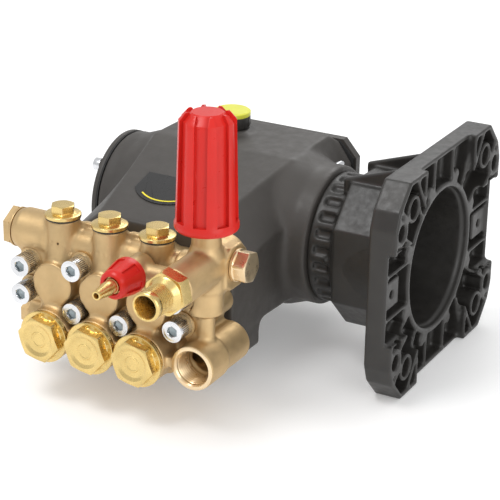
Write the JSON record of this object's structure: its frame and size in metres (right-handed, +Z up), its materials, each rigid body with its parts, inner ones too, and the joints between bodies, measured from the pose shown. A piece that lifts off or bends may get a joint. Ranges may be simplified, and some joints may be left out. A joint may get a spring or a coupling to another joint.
{
  "type": "triplex plunger pump",
  "caption": "Pressure washer plunger pump: brass valve manifold with unloader knob and chemical injector, painted crankcase, hollow shaft and engine mounting flange.",
  "frame": {"origin": "centre of the engine flange's mounting face, on the crank axis", "axes": "+X along the crankshaft towards the engine, -Y out of the valve manifold's front, +Z up"},
  "size_m": [0.2403, 0.2903, 0.19],
  "materials": {
    "alu": "as-machined aluminium",
    "black_plastic": "fine-grained black glass-filled plastic",
    "case_grey": "satin dark grey paint on an aluminium casting",
    "cast_brass": "matt as-cast brass",
    "ceramic": "polished white ceramic",
    "gasket": "black gasket sheet",
    "label": "plain black printed film with a yellow edge",
    "lime_plastic": "yellow-green moulded plastic",
    "red_plastic": "glossy red moulded plastic",
    "rubber": "black nitrile",
    "sight": "clear sight glass",
    "steel": "ground steel",
    "turned_brass": "bright machined brass",
    "zinc": "bright zinc plated steel"
  },
  "bodies": {
    "pump": {"crankcase": "case_grey", "rear_cover_gasket": "gasket", "rear_cover": "case_grey", "rear_cover_screws": "zinc", "oil_sight_glass": "sight", "drain_plug": "turned_brass", "left_cover_gasket": "gasket", "left_bearing_cover": "case_grey", "left_cover_screws": "zinc", "bearing_outer_races": "steel", "bearing_balls": "steel", "shaft_seal": "rubber", "plunger_oil_seals": "rubber", "packing_retainers": "turned_brass", "packings": "rubber", "manifold": "cast_brass", "manifold_bolts": "zinc", "manifold_washers": "cast_brass", "inlet_valve_caps": "turned_brass", "inlet_cap_washers": "turned_brass", "discharge_valve_caps": "turned_brass", "discharge_cap_o_rings": "rubber", "valve_seats": "steel", "discharge_gallery_plug": "cast_brass", "inlet_gallery_plug": "cast_brass", "unloader_body": "cast_brass", "unloader_plug": "turned_brass", "unloader_spring": "steel", "outlet_fitting": "turned_brass", "injector_barb": "turned_brass", "label_plate": "label", "engine_flange": "black_plastic", "flange_screws": "zinc"},
    "crank": {"crankshaft": "steel", "bearing_inner_races": "steel"},
    "spindle": {"unloader_spindle": "turned_brass"},
    "pressure_knob": {"unloader_knob": "red_plastic"},
    "chemical_knob": {"injector_knob": "red_plastic"},
    "filler_cap": {"oil_cap": "black_plastic", "oil_cap_disc": "lime_plastic"},
    "rod_1": {"connecting_rod_1": "alu", "wrist_pin_1": "steel"},
    "piston_1": {"plunger_guide_1": "steel", "plunger_1": "ceramic"},
    "inlet_valve_1": {"inlet_poppet_1": "steel"},
    "discharge_valve_1": {"discharge_poppet_1": "steel"},
    "rod_2": {"connecting_rod_2": "alu", "wrist_pin_2": "steel"},
    "piston_2": {"plunger_guide_2": "steel", "plunger_2": "ceramic"},
    "inlet_valve_2": {"inlet_poppet_2": "steel"},
    "discharge_valve_2": {"discharge_poppet_2": "steel"},
    "rod_3": {"connecting_rod_3": "alu", "wrist_pin_3": "steel"},
    "piston_3": {"plunger_guide_3": "steel", "plunger_3": "ceramic"},
    "inlet_valve_3": {"inlet_poppet_3": "steel"},
    "discharge_valve_3": {"discharge_poppet_3": "steel"}
  },
  "joints": [
    {"name": "crank_spin", "type": "hinge", "parent": "pump", "child": "crank", "pos_m": [-0.1536, 0, 0], "axis": [1, 0, 0], "continuous": true},
    {"name": "rod_1_pivot", "type": "hinge", "parent": "crank", "child": "rod_1", "pos_m": [-0.18614, 0, 0.0055], "axis": [1, 0, 0], "continuous": true},
    {"name": "plunger_1_slide", "type": "slide", "parent": "pump", "child": "piston_1", "axis": [0, -1, 0], "range_m": [-0.0055, 0.0055]},
    {"name": "inlet_valve_1_lift", "type": "slide", "parent": "pump", "child": "inlet_valve_1", "axis": [0, -1, 0], "range_m": [0, 0.002], "stiffness_N_per_m": 300, "springref_m": -0.002},
    {"name": "discharge_valve_1_lift", "type": "slide", "parent": "pump", "child": "discharge_valve_1", "axis": [0, 0, 1], "range_m": [0, 0.002], "stiffness_N_per_m": 300, "springref_m": -0.002},
    {"name": "rod_2_pivot", "type": "hinge", "parent": "crank", "child": "rod_2", "pos_m": [-0.1536, -0.00476, -0.00275], "axis": [1, 0, 0], "continuous": true},
    {"name": "plunger_2_slide", "type": "slide", "parent": "pump", "child": "piston_2", "axis": [0, -1, 0], "range_m": [-0.0055, 0.0055]},
    {"name": "inlet_valve_2_lift", "type": "slide", "parent": "pump", "child": "inlet_valve_2", "axis": [0, -1, 0], "range_m": [0, 0.002], "stiffness_N_per_m": 300, "springref_m": -0.002},
    {"name": "discharge_valve_2_lift", "type": "slide", "parent": "pump", "child": "discharge_valve_2", "axis": [0, 0, 1], "range_m": [0, 0.002], "stiffness_N_per_m": 300, "springref_m": -0.002},
    {"name": "rod_3_pivot", "type": "hinge", "parent": "crank", "child": "rod_3", "pos_m": [-0.12106, 0.00476, -0.00275], "axis": [1, 0, 0], "continuous": true},
    {"name": "plunger_3_slide", "type": "slide", "parent": "pump", "child": "piston_3", "axis": [0, -1, 0], "range_m": [-0.0055, 0.0055]},
    {"name": "inlet_valve_3_lift", "type": "slide", "parent": "pump", "child": "inlet_valve_3", "axis": [0, -1, 0], "range_m": [0, 0.002], "stiffness_N_per_m": 300, "springref_m": -0.002},
    {"name": "discharge_valve_3_lift", "type": "slide", "parent": "pump", "child": "discharge_valve_3", "axis": [0, 0, 1], "range_m": [0, 0.002], "stiffness_N_per_m": 300, "springref_m": -0.002},
    {"name": "pressure_knob_turn", "type": "hinge", "parent": "spindle", "child": "pressure_knob", "pos_m": [-0.0886, -0.144, 0.07], "axis": [0, 0, -1], "range_deg": [0, 1080]},
    {"name": "spindle_advance", "type": "slide", "parent": "pump", "child": "spindle", "axis": [0, 0, -1], "range_m": [0, 0.0045], "deforming": ["unloader_spring"]},
    {"name": "chemical_knob_turn", "type": "hinge", "parent": "pump", "child": "chemical_knob", "pos_m": [-0.124, -0.1685, 0.0246], "axis": [0, -1, 0], "range_deg": [-180, 180]},
    {"name": "filler_cap_pull", "type": "slide", "parent": "pump", "child": "filler_cap", "axis": [0, 0, 1], "range_m": [0, 0.03]}
  ],
  "couplings": [
    {"joint": "rod_1_pivot", "follows": "crank_spin", "ratio": -1},
    {"joint": "rod_2_pivot", "follows": "crank_spin", "ratio": -1},
    {"joint": "rod_3_pivot", "follows": "crank_spin", "ratio": -1},
    {"joint": "spindle_advance", "follows": "pressure_knob_turn", "m_per_rad": 0.00023873}
  ]
}
